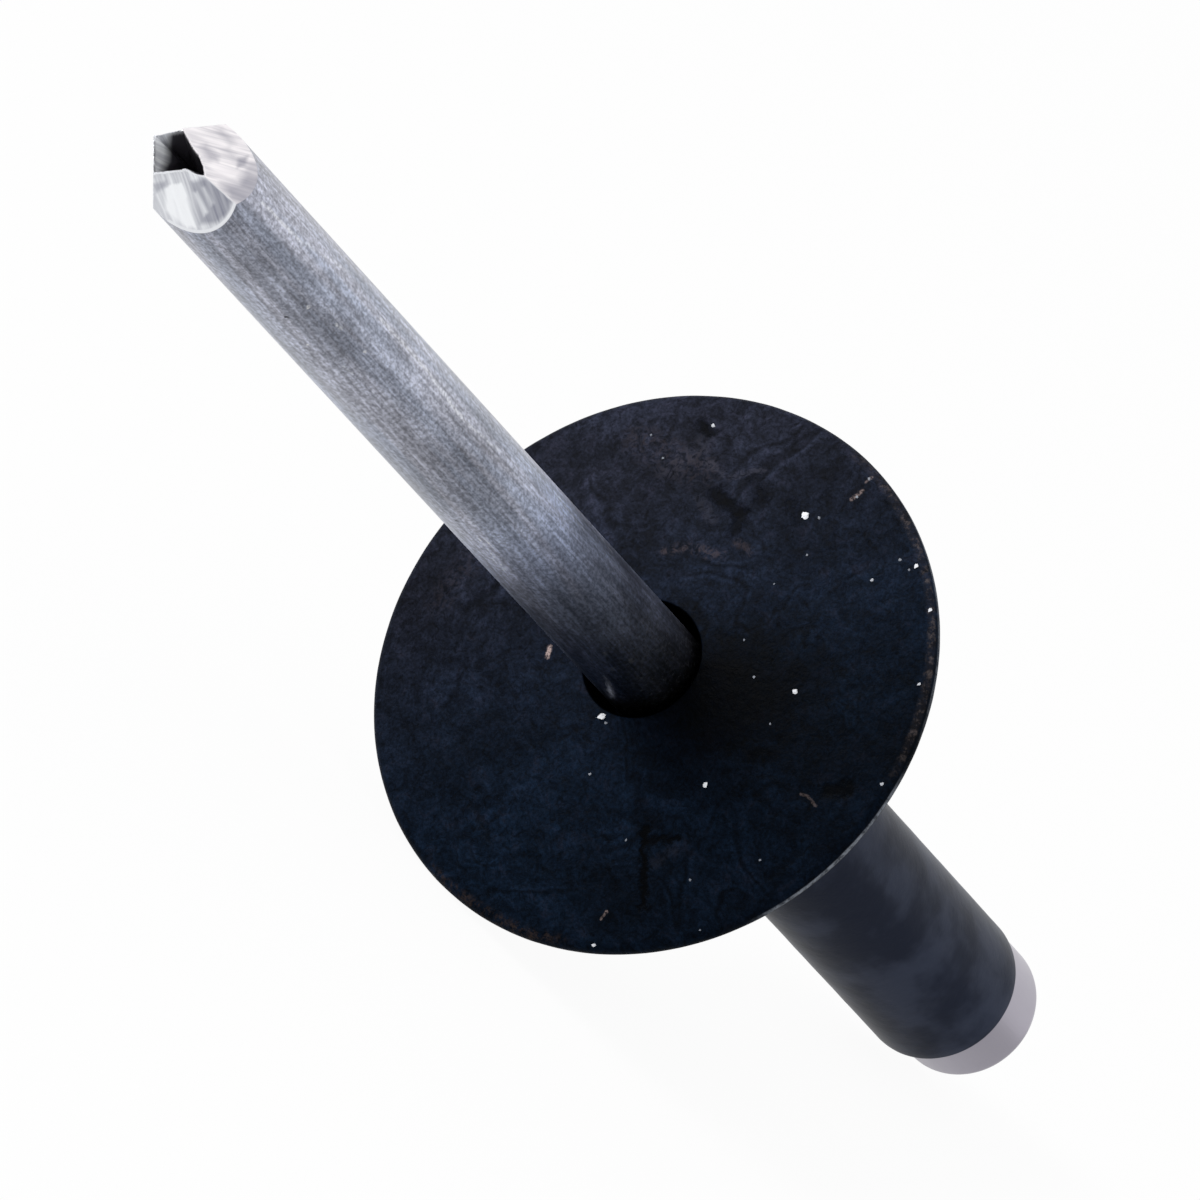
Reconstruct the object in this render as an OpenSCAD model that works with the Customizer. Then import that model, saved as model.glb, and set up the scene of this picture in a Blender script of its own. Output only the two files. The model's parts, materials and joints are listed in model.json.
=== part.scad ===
// Blind rivet with a large flange, as it is sold: a hollow rivet body in one
// piece, and the mandrel that runs through it. The rivet's own axis is +Z, with
// the flange's seat at height 0, the sleeve below it and the free stem above.
// The whole rivet is then laid down, so that it rests on the rim of the flange
// and on the mandrel's head, with the cut end of the stem in the air.

/* [Rivet body] */
// Outside diameter of the sleeve, which goes into the drilled hole
sleeve_d = 4.8; // [4.6:0.1:6.4]
// Length of the sleeve below the flange's seat
sleeve_len = 24; // [10:0.5:30]
// Radius that breaks the outer edge of the sleeve's far end
sleeve_edge_r = 0.15; // [0.05:0.05:0.4]
// Bevel at the far end of the bore, which clears the fillet under the head
bore_bevel = 0.3; // [0.25:0.05:0.5]
// Outside diameter of the flange
flange_d = 17; // [10:0.5:20]
// Thickness of the flange at its round rim
rim_t = 0.6; // [0.4:0.05:1.2]
// How far the middle of the flange's face stands above the rim
crown_rise = 0.9; // [0.3:0.05:1.5]
// Fillet where the sleeve runs into the flange's seat
seat_fillet_r = 0.3; // [0.1:0.05:0.6]

/* [Mouth of the bore] */
// Diameter of the recess in the flange's face, round the stem
mouth_d = 3.55; // [3.4:0.05:4.4]
// Depth of the straight wall of the recess, measured from the crown
mouth_depth = 0.7; // [0.3:0.05:1.2]
// Height of the cone that narrows the recess to the bore
mouth_cone_h = 0.5; // [0.2:0.05:1.2]

/* [Mandrel] */
// Diameter of the stem
stem_d = 3; // [2.5:0.05:3.1]
// How much wider the bore is than the stem
bore_play = 0.14; // [0.06:0.01:0.3]
// Height of the full round stem above the flange's seat
stem_reach = 35.4; // [20:0.1:50]
// Diameter of the head that pulls the sleeve open
head_d = 4.35; // [4.1:0.05:4.6]
// Thickness of the head
head_t = 2.4; // [1.6:0.1:4]
// Radius on the far edge of the head
head_edge_r = 0.45; // [0.2:0.05:0.7]
// Radius on the near edge of the head
head_seat_edge_r = 0.1; // [0.05:0.05:0.3]
// Height of the small cone between the stem and the seat of the head
head_cone_h = 0.2; // [0.1:0.02:0.24]
// Diameter left in the break neck, where the stem snaps
neck_d = 2.1; // [1.7:0.05:2.3]
// Distance from the head's seat to the middle of the break neck
neck_gap = 1.6; // [1.2:0.1:4]
// Width of the break neck at the stem's surface
neck_w = 1; // [0.4:0.1:1.8]

/* [Pinched end of the stem] */
// Slope of the two front cuts, from a square end
front_slope = 52; // [40:1:60]
// Turn of the left front cut about the axis
left_turn = -34; // [-50:1:-25]
// Turn of the right front cut about the axis
right_turn = 50; // [35:1:60]
// How far up the stem the right front cut starts
right_start = 0; // [0:0.02:0.3]
// Slope of the two back cuts
back_slope = 68; // [50:1:72]
// Turn of the right back cut about the axis
back_right_turn = 144; // [130:1:160]
// Turn of the left back cut about the axis
back_left_turn = 232; // [215:1:245]
// How far up the stem the back cuts start
back_start = 0; // [0:0.02:0.5]
// Depth of the torn pit below the start of the cuts
pit_depth = 0.9; // [0.2:0.05:1.5]
// Height above the start of the cuts at which the pit has its full outline
pit_h = 1.2; // [0.8:0.1:1.6]
// Width of the pit's floor, as a share of its opening
pit_floor_share = 0.35; // [0.2:0.05:0.7]

/* [Lying position] */
// Turn of the mandrel about its axis, from the side that lies uppermost
tip_turn = -90; // [-180:1:180]

/* [Hidden] */
$fn = 96;

sleeve_r = sleeve_d / 2;
stem_r = stem_d / 2;
bore_r = (stem_d + bore_play) / 2;
mouth_r = mouth_d / 2;
head_r = head_d / 2;

// The rim is a full round, so its radius is half the rim's thickness
rim_r = rim_t / 2;
rim_x = flange_d / 2 - rim_r;
crown_z = rim_t + crown_rise;

// The face is one arc from the axis, tangent to the round of the rim
crown_r = (pow(rim_x, 2) + pow(crown_z - rim_r, 2) - pow(rim_r, 2)) / (2 * crown_rise);
crown_center_z = crown_z - crown_r;
tangent_x = rim_x + rim_r * rim_x / (crown_r - rim_r);

// Centre of the round on the head's far edge
head_end_z = -sleeve_len - head_t;
head_round_x = head_r - head_edge_r;
head_round_z = head_end_z + head_edge_r;

// Foot of the small cone, inside the head
head_root_z = -sleeve_len - head_cone_h / 2;

// Tilt at which one flat floor touches the rim's round and the head's round
span = norm([rim_x - head_round_x, rim_r - head_round_z]);
lie_tilt = atan2(rim_x - head_round_x, rim_r - head_round_z) - asin((head_edge_r - rim_r) / span);
axis_height = rim_r + rim_x * cos(lie_tilt) - rim_r * sin(lie_tilt);

// Ends of the rivet as it lies: the head's round, and the top of the front cuts on the axis
head_end_x = head_edge_r + head_round_x * sin(lie_tilt) - head_round_z * cos(lie_tilt);
tip_end_x = -(stem_reach + stem_r * tan(front_slope)) * cos(lie_tilt);

// The cuts at the end of the stem are taken with blocks well over its width
block = 4 * stem_d;
stem_top = stem_reach + block;

// Outline of the pit's opening, in radii of the stem, from the front corner round
pit_outline = [[0.44, 0.06], [0.28, 0.17], [-0.21, 0.3], [-0.48, 0.38], [-0.83, -0.08], [-0.2, -0.59],
    [0.17, -0.1]];
pit_middle = [-0.3, -0.05];

module lying() {
    translate([-(head_end_x + tip_end_x) / 2, 0, axis_height]) rotate([0, lie_tilt - 90, 0]) children();
}

module round_edge(x, z, r) {
    translate([x, z]) circle(r);
}

module flange_section() {
    intersection() {
        round_edge(0, crown_center_z, crown_r);
        square([rim_x, crown_z]);
    }
    intersection() {
        round_edge(0, crown_center_z, crown_r);
        translate([rim_x, rim_r]) square([tangent_x - rim_x, crown_z]);
    }
    round_edge(rim_x, rim_r, rim_r);
}

module sleeve_section() {
    translate([0, -sleeve_len + sleeve_edge_r]) square([sleeve_r, sleeve_len - sleeve_edge_r]);
    translate([0, -sleeve_len]) square([sleeve_r - sleeve_edge_r, sleeve_len]);
    round_edge(sleeve_r - sleeve_edge_r, -sleeve_len + sleeve_edge_r, sleeve_edge_r);
}

module seat_fillet_section() {
    difference() {
        translate([0, -seat_fillet_r]) square([sleeve_r + seat_fillet_r, seat_fillet_r]);
        round_edge(sleeve_r + seat_fillet_r, -seat_fillet_r, seat_fillet_r);
    }
}

module bore_section() {
    below = -sleeve_len - 1;
    above = crown_z + 1;
    mouth_z = crown_z - mouth_depth;
    cone_z = mouth_z - mouth_cone_h;
    translate([0, below]) square([bore_r, above - below]);
    polygon([[0, cone_z], [bore_r, cone_z], [mouth_r, mouth_z], [mouth_r, above], [0, above]]);
    polygon([[0, below], [bore_r + bore_bevel, below], [bore_r + bore_bevel, -sleeve_len],
        [bore_r, -sleeve_len + bore_bevel], [0, -sleeve_len + bore_bevel]]);
}

module rivet_body() {
    color("#14171f") lying() rotate_extrude() difference() {
        union() {
            flange_section();
            sleeve_section();
            seat_fillet_section();
        }
        bore_section();
    }
}

module head_section() {
    translate([0, head_end_z]) square([head_round_x, head_t]);
    translate([0, head_round_z]) square([head_r, head_t - head_edge_r - head_seat_edge_r]);
    translate([0, head_round_z]) square([head_r - head_seat_edge_r, head_t - head_edge_r]);
    round_edge(head_round_x, head_round_z, head_edge_r);
    round_edge(head_r - head_seat_edge_r, -sleeve_len - head_seat_edge_r, head_seat_edge_r);
}

// The cone's flank runs on into the head by half its height
module head_cone_section() {
    cone_top_z = -sleeve_len + head_cone_h;
    root_r = stem_r + 1.5 * head_cone_h;
    polygon([[0, head_root_z], [root_r, head_root_z], [stem_r, cone_top_z], [0, cone_top_z]]);
}

// A V whose point is at the neck and whose sides run out past the stem's surface
module neck_section() {
    neck_r = neck_d / 2;
    neck_z = -sleeve_len + neck_gap;
    outer_r = neck_r + stem_r;
    half_w = neck_w / 2 * stem_r / (stem_r - neck_r);
    polygon([[neck_r, neck_z], [outer_r, neck_z - half_w], [outer_r, neck_z + half_w]]);
}

module stem_and_head() {
    rotate_extrude() difference() {
        union() {
            translate([0, head_root_z]) square([stem_r, stem_top - head_root_z]);
            head_section();
            head_cone_section();
        }
        neck_section();
    }
}

// One flat cut: it leaves the stem's side at the start height and rises to the other side
module pinch_cut(turn, slope, start) {
    rotate([0, 0, turn]) translate([stem_r, 0, stem_reach + start]) rotate([0, slope, 0])
        translate([-block, -block, 0]) cube([2 * block, 2 * block, 3 * block]);
}

// The pit left where the wire tore: it narrows downwards, and is open above its outline
module torn_pit() {
    full_outline = [for (p = pit_outline) (p - pit_middle) * stem_r];
    translate([pit_middle.x * stem_r, pit_middle.y * stem_r, stem_reach + pit_h]) {
        mirror([0, 0, 1]) linear_extrude(height = pit_h + pit_depth, scale = pit_floor_share)
            polygon(full_outline);
        linear_extrude(height = block) polygon(full_outline);
    }
}

module mandrel() {
    color("#8d919b") lying() rotate([0, 0, tip_turn]) difference() {
        stem_and_head();
        pinch_cut(left_turn, front_slope, 0);
        pinch_cut(right_turn, front_slope, right_start);
        pinch_cut(back_right_turn, back_slope, back_start);
        pinch_cut(back_left_turn, back_slope, back_start);
        torn_pit();
    }
}

rivet_body();
mandrel();
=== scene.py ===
# %% [markdown]
# # A blind rivet with a large flange
# The rivet is two pieces. The rivet body, black and matt, is a sleeve with a wide crowned flange. The
# mandrel, of bare drawn wire, runs through it, with a head at the sleeve's far end and a long stem that
# was pinched off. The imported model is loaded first, as a fixed frame: every size and place below is taken
# from it or measured against it, so nothing has to be fitted afterwards.

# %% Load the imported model
import json
import math

import bmesh
import bpy
import numpy as np
from mathutils import Matrix, Vector, noise


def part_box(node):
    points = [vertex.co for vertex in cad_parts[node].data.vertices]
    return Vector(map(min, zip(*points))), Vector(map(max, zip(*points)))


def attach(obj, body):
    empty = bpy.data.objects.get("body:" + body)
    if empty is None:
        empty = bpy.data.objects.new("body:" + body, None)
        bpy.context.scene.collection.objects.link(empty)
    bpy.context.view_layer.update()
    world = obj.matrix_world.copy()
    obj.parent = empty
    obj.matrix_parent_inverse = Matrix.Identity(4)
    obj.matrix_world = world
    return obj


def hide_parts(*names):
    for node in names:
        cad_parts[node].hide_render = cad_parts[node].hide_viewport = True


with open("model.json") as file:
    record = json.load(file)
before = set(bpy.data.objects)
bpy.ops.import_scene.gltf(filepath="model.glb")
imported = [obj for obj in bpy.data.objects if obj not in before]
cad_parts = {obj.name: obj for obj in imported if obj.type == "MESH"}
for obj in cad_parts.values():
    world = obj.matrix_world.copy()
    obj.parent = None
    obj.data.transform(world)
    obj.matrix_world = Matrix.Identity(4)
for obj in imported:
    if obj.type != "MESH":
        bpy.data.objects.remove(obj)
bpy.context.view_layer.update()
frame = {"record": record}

MM = 0.001

# %% [markdown]
# ## The rivet's own axes
# The rivet lies askew on the floor, so its shape is far easier to describe along its own axis. Two things
# fix that axis: the record's sleeve mount gives its direction and a point on it, and the side that lies
# toward the viewer is square to both the axis and the upright. In these axes z runs from the flange's
# seat toward the pinched end, x toward the viewer and y upwards, all in millimetres.

# %% Axes of the rivet
SLEEVE_MOUNT_MIDDLE = 12.075    # distance of the sleeve mount's point below the flange's seat

mounts = {mount["name"]: mount for mount in frame["record"]["mounts"]}
tip_way = -Vector(mounts["sleeve"]["axis"]).normalized()
near_side = Vector((0, -1, 0))
top_side = tip_way.cross(near_side)
seat_centre = Vector(mounts["sleeve"]["pos_m"]) + tip_way * SLEEVE_MOUNT_MIDDLE * MM

turn_to_row = Matrix((near_side, top_side, tip_way)).transposed()
rivet_to_row = Matrix.Translation(seat_centre) @ (turn_to_row * MM).to_4x4()
row_to_rivet = rivet_to_row.inverted()
print("seat of the flange at", [round(v / MM, 3) for v in seat_centre], "mm")

# %% [markdown]
# ## Sizes of the rivet
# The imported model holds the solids, so what it can tell is read from it: the sleeve's and the stem's
# radius from the mounts, and the flange's from its box. The rest are the driving sizes of the part's
# source, in millimetres. The face of the flange is one arc: its radius follows from the crown's height,
# and it runs into the full round of the rim without an edge.

# %% Sizes in millimetres
SLEEVE_R = mounts["sleeve"]["dims"]["r_mm"]
STEM_R = mounts["stem"]["dims"]["r_mm"]
FLANGE_R = (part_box("rivet_body")[1].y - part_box("rivet_body")[0].y) / 2 / MM
SLEEVE_LEN = 24.0
SLEEVE_EDGE = 0.15              # radius on the sleeve's far edge
RIM_R = 0.3                     # the rim is a full round of this radius
RIM_X = FLANGE_R - RIM_R        # distance of the round's middle from the axis
CROWN_Z = 1.5                   # top of the dome above the seat
SEAT_FILLET = 0.3
BORE_R = STEM_R + 0.07
BORE_BEVEL = 0.3
MOUTH_R = 1.775
MOUTH_DEPTH = 0.7
MOUTH_CONE = 0.5
MOUTH_EDGE = 0.06               # soft edge that the press and the paint leave at the mouth

HEAD_R = 2.175
HEAD_T = 2.4
HEAD_EDGE = 0.45
HEAD_SEAT_EDGE = 0.1
HEAD_CONE = 0.2                 # small cone between the stem and the seat of the head
HEAD_SHIFT = 0.15               # how far the head's middle lies above the stem's
NECK_R = 1.05
NECK_GAP = 1.6
NECK_W = 1.0
STEM_REACH = 35.4               # full round stem above the seat

crown_rise = CROWN_Z - 2 * RIM_R
crown_r = (RIM_X ** 2 + (CROWN_Z - RIM_R) ** 2 - RIM_R ** 2) / (2 * crown_rise)
crown_centre = CROWN_Z - crown_r
print(f"flange {2 * FLANGE_R:.1f} mm wide, its face a dome of radius {crown_r:.1f} mm")

# %% [markdown]
# ## The camera
# A photograph's camera can be worked out from the object when some of its shapes are known. Here the rim
# of the flange is a circle, so the ellipse in the photograph gives the angle between the rivet's axis and
# the line of sight; the slight taper of the stem gives the distance; and the stem's direction in the
# picture gives the roll. The lens follows from how many pixels a millimetre takes at the rim.

# %% Camera at the photograph's place
PHOTO_SIZE = 1200               # pixels along each side of the photograph
SIGHT_ANGLE = 30.5              # degrees between the rivet's axis and the line of sight
CAMERA_ROLL = -42.5             # degrees that the picture is turned about the line of sight
CAMERA_DISTANCE = 556.0         # mm from the middle of the rim
PIXELS_PER_MM = 35.4            # at the middle of the rim
RIM_CENTRE_PIXEL = (655.7, 673.7)
RIM_MIDDLE_Z = 0.3              # height of the rim's middle above the seat, mm
SENSOR = 36.0                   # width of the sensor, mm

focal_pixels = PIXELS_PER_MM * CAMERA_DISTANCE
angle = math.radians(SIGHT_ANGLE)
roll = math.radians(CAMERA_ROLL)
to_camera = near_side * math.sin(angle) + tip_way * math.cos(angle)
picture_up = tip_way * math.sin(angle) - near_side * math.cos(angle)
picture_right = picture_up.cross(to_camera)
right = picture_right * math.cos(roll) + picture_up * math.sin(roll)
up = picture_up * math.cos(roll) - picture_right * math.sin(roll)
looking = Matrix((right, up, to_camera)).transposed()

rim_centre = rivet_to_row @ Vector((0, 0, RIM_MIDDLE_Z))
off_centre = Vector(((RIM_CENTRE_PIXEL[0] - PHOTO_SIZE / 2) / focal_pixels,
                     (PHOTO_SIZE / 2 - RIM_CENTRE_PIXEL[1]) / focal_pixels, -1)).normalized()
looking = looking @ off_centre.rotation_difference(Vector((0, 0, -1))).to_matrix()
camera_place = rim_centre + to_camera * CAMERA_DISTANCE * MM

camera_data = bpy.data.cameras.new("camera")
camera_data.sensor_width = SENSOR
camera_data.lens = SENSOR * focal_pixels / PHOTO_SIZE
camera_data.clip_start = 0.01
camera = bpy.data.objects.new("camera", camera_data)
camera.matrix_world = Matrix.Translation(camera_place) @ looking.to_4x4()
bpy.context.scene.collection.objects.link(camera)
bpy.context.scene.camera = camera
camera_turn = np.array(looking)


def photo_pixels(points):
    """Where points given in rivet coordinates (mm) lie in the photograph."""
    row = points @ (np.array(turn_to_row).T * MM) + np.array(seat_centre)
    seen = (row - np.array(camera_place)) @ camera_turn
    across = PHOTO_SIZE / 2 + focal_pixels * seen[:, 0] / -seen[:, 2]
    down = PHOTO_SIZE / 2 - focal_pixels * seen[:, 1] / -seen[:, 2]
    return np.stack([across, down], axis=1)


def sight_line(pixel):
    """Start and direction, in the row's axes, of what the camera sees at a pixel of the photograph."""
    ray = Vector(((pixel[0] - PHOTO_SIZE / 2) / focal_pixels,
                  (PHOTO_SIZE / 2 - pixel[1]) / focal_pixels, -1))
    return camera_place, (looking @ ray).normalized()


print(f"lens {camera_data.lens:.0f} mm, camera {to_camera.z:.2f} of the way up")
print("rim centre at pixel", photo_pixels(np.array([[0, 0, RIM_MIDDLE_Z]])).round(1)[0])

# %% [markdown]
# ## Two small helpers
# Colours are picked from a screen, so they are sRGB, while Blender computes in linear light; one function
# converts them. The other adds a node to any tree, sets it up and links it, so that each material and
# each geometry tree reads as a list of what it is made of.

# %% Colour and node helpers
def linear(hex_colour, alpha=1.0):
    """An sRGB colour such as "#80858f" as linear RGBA."""
    parts = [int(hex_colour[i:i + 2], 16) / 255 for i in (1, 3, 5)]
    return [v / 12.92 if v <= 0.04045 else ((v + 0.055) / 1.055) ** 2.4 for v in parts] + [alpha]


def add(tree, kind, inputs=None, **settings):
    """Adds a node: settings are its own, and each input takes a value or another node's output."""
    node = tree.nodes.new(kind)
    for name, value in settings.items():
        setattr(node, name, value)
    for key, value in (inputs or {}).items():
        if isinstance(value, bpy.types.NodeSocket):
            tree.links.new(value, node.inputs[key])
        else:
            node.inputs[key].default_value = value
    return node


print("linear grey:", [round(v, 3) for v in linear("#80858f")])

# %% [markdown]
# ## Where a pattern lies on the rivet
# Drawn wire has lines along its length and a pressed flange is marked in rings and spots about its
# middle. So every material here starts from the rivet's own axes. A Mapping node turns the Object
# coordinates into them, in millimetres, which lets each pattern be sized in real millimetres further on.

# %% Rivet coordinates for the materials
def new_material(name):
    """An empty node material, its surface shader and the rivet's own coordinates in millimetres."""
    material = bpy.data.materials.new(name)
    material.use_nodes = True
    tree = material.node_tree
    tree.nodes.clear()
    shader = add(tree, "ShaderNodeBsdfPrincipled")
    add(tree, "ShaderNodeOutputMaterial", {"Surface": shader.outputs[0]})
    place = add(tree, "ShaderNodeTexCoord")
    mapping = add(tree, "ShaderNodeMapping", {
        "Vector": place.outputs["Object"],
        "Location": row_to_rivet.translation,
        "Rotation": turn_to_row.transposed().to_euler(),
        "Scale": (1 / MM, 1 / MM, 1 / MM)})
    return material, tree, shader, mapping.outputs[0]


print("the seat's middle in rivet coordinates:", [round(v, 3) + 0.0 for v in row_to_rivet @ seat_centre])

# %% [markdown]
# ## Patterns, tones and coats
# Three ideas make every finish below. A pattern is noise with lumps of a real width. A tone is a number
# that makes a colour darker or lighter, and several things do so at once: a cloud, a grain, the distance
# from a shaded spot. Each of them is a layer with its own range, and the layers are multiplied. A coat is
# a second colour that lies over the first where its share is above nothing.

# %% Patterns and tones
def pattern(tree, place, size, detail=2.0, stretch=(1, 1, 1), roughness=0.5, distortion=0.0, shift=0.0):
    """Noise whose lumps are about size mm wide, stretched along the rivet's axes."""
    fitted = add(tree, "ShaderNodeMapping", {
        "Vector": place, "Scale": [1 / (size * s) for s in stretch], "Location": (shift, shift, shift)})
    lumps = add(tree, "ShaderNodeTexNoise", {
        "Vector": fitted.outputs[0], "Scale": 1.0, "Detail": detail, "Roughness": roughness,
        "Distortion": distortion})
    return lumps.outputs["Fac"]


def graded(tree, *layers, smooth=True):
    """The product of layers: a value as it is, or (value, low, high) that goes from 0 at low to 1 at high.

    Two more numbers in a layer say what it is at low and at high instead. Past both it stays as it is there.
    """
    total = None
    for layer in layers:
        if isinstance(layer, tuple):
            value, low, high, *ends = layer
            at_low, at_high = ends or (0.0, 1.0)
            layer = add(tree, "ShaderNodeMapRange", {
                "Value": value, "From Min": low, "From Max": high, "To Min": at_low, "To Max": at_high},
                interpolation_type="SMOOTHSTEP" if smooth else "LINEAR").outputs[0]
        if total is not None:
            layer = add(tree, "ShaderNodeMath", {0: total, 1: layer}, operation="MULTIPLY").outputs[0]
        total = layer
    return total


def toned(tree, colour, *layers):
    """A colour made darker or lighter by layers."""
    return add(tree, "ShaderNodeVectorMath", {0: colour, "Scale": graded(tree, *layers)},
               operation="SCALE").outputs["Vector"]


def tone_along(tree, height, stops):
    """The tone at each height, on a smooth line through (height in mm, tone) stops, lowest first."""
    low, high = stops[0][0], stops[-1][0]
    ramp = add(tree, "ShaderNodeValToRGB", {"Fac": graded(tree, (height, low, high), smooth=False)})
    ramp.color_ramp.interpolation = "EASE"
    marks = ramp.color_ramp.elements
    for at, _ in stops[1:-1]:
        marks.new((at - low) / (high - low))
    for mark, (_, tone) in zip(marks, stops):
        mark.color = (tone / 2, tone / 2, tone / 2, 1.0)
    return add(tree, "ShaderNodeMath", {0: ramp.outputs["Color"], 1: 2.0}, operation="MULTIPLY").outputs[0]


# %% Coats, and coordinates with a ragged edge
def coated(tree, below, share, above):
    """A colour or a plain value over another: below where the share is 0, above where it is 1."""
    if isinstance(above, float):
        return add(tree, "ShaderNodeMix", {"Factor": share, 2: below, 3: above}, data_type="FLOAT").outputs[0]
    return add(tree, "ShaderNodeMix", {"Factor": share, 6: below, 7: above}, data_type="RGBA").outputs[2]


def wobbled(tree, place, size, amount):
    """The coordinates pushed about by up to some mm, so that a mark drawn in them gets a ragged outline."""
    lumps = add(tree, "ShaderNodeTexNoise", {
        "Vector": place, "Scale": 1 / size, "Detail": 4.0, "Roughness": 0.65})
    off = add(tree, "ShaderNodeVectorMath", {0: lumps.outputs["Color"], 1: (0.5, 0.5, 0.5)},
              operation="SUBTRACT")
    push = toned(tree, off.outputs["Vector"], amount * 4)
    return add(tree, "ShaderNodeVectorMath", {0: place, 1: push}, operation="ADD").outputs["Vector"]


# %% [markdown]
# ## Marks where the photograph shows them
# A general pattern gives the right sort of surface, but an eye also finds single marks: a scratch, a
# scuff, and light and shade painted as marks: a dark fold line in shade, a lit fold, a highlight along a
# die line, a glint. Each is a short straight streak, named here by its two ends in the photograph's
# pixels. The line of sight through a pixel meets the dome of the flange, or the near side of
# the stem, in one point, so a streak gets its real place on the piece and stays there from every side.

# %% From a pixel to a place on the rivet
def on_rivet(pixel, surface):
    """The point, in rivet coordinates, where the camera's line of sight first meets the face or the stem."""
    start, way = sight_line(pixel)
    start = row_to_rivet @ start
    way = (turn_to_row.transposed() @ way).normalized()
    if surface == "stem":
        flat_start, flat_way, reach = start.xy, way.xy, STEM_R
    else:
        flat_start, flat_way, reach = start - Vector((0, 0, crown_centre)), way, crown_r
    a = flat_way.dot(flat_way)
    b = flat_start.dot(flat_way)
    c = flat_start.dot(flat_start) - reach ** 2
    return start + way * ((-b - math.sqrt(max(b * b - a * c, 0))) / a)


print("rim centre's pixel on the face:", [round(v, 2) for v in on_rivet(RIM_CENTRE_PIXEL, "face")])


# %% Streaks
def streak(tree, place, surface, first, last, width, softness):
    """1 on a streak between two pixels, width mm wide, and 0 away from it."""
    a, b = on_rivet(first, surface), on_rivet(last, surface)
    along = b - a
    from_a = add(tree, "ShaderNodeVectorMath", {0: place, 1: a}, operation="SUBTRACT").outputs["Vector"]
    dot = add(tree, "ShaderNodeVectorMath", {0: from_a, 1: along}, operation="DOT_PRODUCT").outputs["Value"]
    share = add(tree, "ShaderNodeMath", {0: dot, 1: 1 / max(along.length_squared, 1e-6)},
                operation="MULTIPLY", use_clamp=True).outputs[0]
    foot = toned(tree, along, share)
    gap = add(tree, "ShaderNodeVectorMath", {0: from_a, 1: foot}, operation="DISTANCE").outputs["Value"]
    return graded(tree, (gap, width / 2 * (1 - softness), width / 2 * (1 + softness), 1.0, 0.0))


def all_streaks(tree, place, surface, marks, softness=0.6):
    """The strongest of a list of streaks: (first pixel, last pixel, width in mm, strength)."""
    total = 0.0
    for first, last, width, strength in marks:
        one = graded(tree, streak(tree, place, surface, first, last, width, softness), strength)
        total = add(tree, "ShaderNodeMath", {0: total, 1: one}, operation="MAXIMUM").outputs[0]
    return total


# %% [markdown]
# ## Black coating of the rivet body
# Large-flange rivets are often sold painted, to match dark sheet. The paint is a thin matt enamel,
# sprayed and baked in bulk on thousands of rivets that tumble together. That leaves a soft, faintly
# leathery surface with small dents and dull patches, a blue cast, strongest where the flange is painted
# darkest, a brown one where it is thin, and rubbed spots on the rim, where the primer and the metal come
# through. The flange also carries painted light: it is painted darker toward the viewer and lighter
# upwards, with painted shade by the mouth, in wrinkles and along dark fold lines, and painted highlights on
# raised folds, wrinkle banks and the rim's lower edge in front of the sleeve. The sleeve is painted darker
# next to the flange. The material is built in that order: the film on the flange, the smoother film on
# the sleeve, the wear of the rim, the single marks, and last how the whole is shaped and how little it
# shines.

# %% Marks in the coating, as pixels of the photograph
PALE_SCRATCHES = (              # thin streaks down to the primer
    ((547, 657), (550, 647), 0.13, 0.75), ((801, 794), (809, 797), 0.08, 0.1),
    ((809, 797), (816, 806), 0.08, 0.1), ((601, 919), (607, 911), 0.07, 0.35),
    ((852, 499), (862, 491), 0.12, 0.3), ((866, 482), (872, 477), 0.08, 0.2))
TAN_SCUFFS = (                  # places rubbed thin
    ((662, 552), (688, 546), 0.24, 0.28), ((690, 547), (722, 557), 0.24, 0.26),
    ((737, 542), (750, 552), 0.2, 0.18), ((640, 440), (700, 470), 0.9, 0.1),
    ((470, 560), (440, 600), 0.8, 0.06))
# Painted highlight: the raised folds are painted lighter, as well as raised by the bump.
RAISED_LIT_FOLDS = (                # soft ridges, where the press wrinkled the sheet
    ((706, 462), (728, 476), 0.26, 0.55), ((728, 476), (762, 470), 0.24, 0.5),
    ((668, 470), (706, 444), 0.6, 0.3), ((655, 864), (672, 850), 0.3, 0.12),
    ((700, 500), (712, 522), 0.3, 0.3))
# Painted shade: the dark fold lines are painted near black, as well as set lower by the bump.
SHADED_FOLD_LINES = (                 # folds that hold no light
    ((645, 828), (643, 905), 0.26, 1.0), ((648, 840), (678, 838), 0.22, 0.9),
    ((716, 494), (742, 514), 0.42, 0.8), ((742, 516), (734, 532), 0.36, 0.7),
    ((754, 478), (762, 500), 0.3, 0.5), ((830, 791), (848, 788), 0.42, 0.9),
    ((466, 610), (492, 588), 0.34, 0.6), ((702, 424), (710, 434), 0.36, 0.8),
    ((472, 802), (490, 842), 0.2, 0.5), ((800, 850), (770, 876), 0.3, 0.5),
    ((790, 505), (800, 520), 0.3, 0.4))
print(len(SHADED_FOLD_LINES), "cracks and", len(PALE_SCRATCHES), "scratches")


# %% Patterns of the enamel
def enamel_lumps(tree, place):
    """The coating's own patterns, from the widest to the finest, by name.

    Real enamel has a grain of some hundredths of a millimetre. It is drawn 0.1 mm wide, so that it shows.
    """
    return {
        "patches": pattern(tree, place, 2.6, detail=4.0, roughness=0.6),
        "blotches": pattern(tree, place, 0.55, detail=5.0, roughness=0.7, distortion=0.8, shift=4.0),
        "dents": pattern(tree, place, 0.5, detail=4.0, roughness=0.6, shift=31.0),
        "creases": pattern(tree, place, 0.3, detail=4.0, roughness=0.65, distortion=1.6, shift=6.0),
        "rubbing": pattern(tree, place, 0.22, detail=5.0, roughness=0.75, shift=21.0),
        "grain": pattern(tree, place, 0.1, detail=3.0, roughness=0.7, shift=8.0)}


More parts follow.
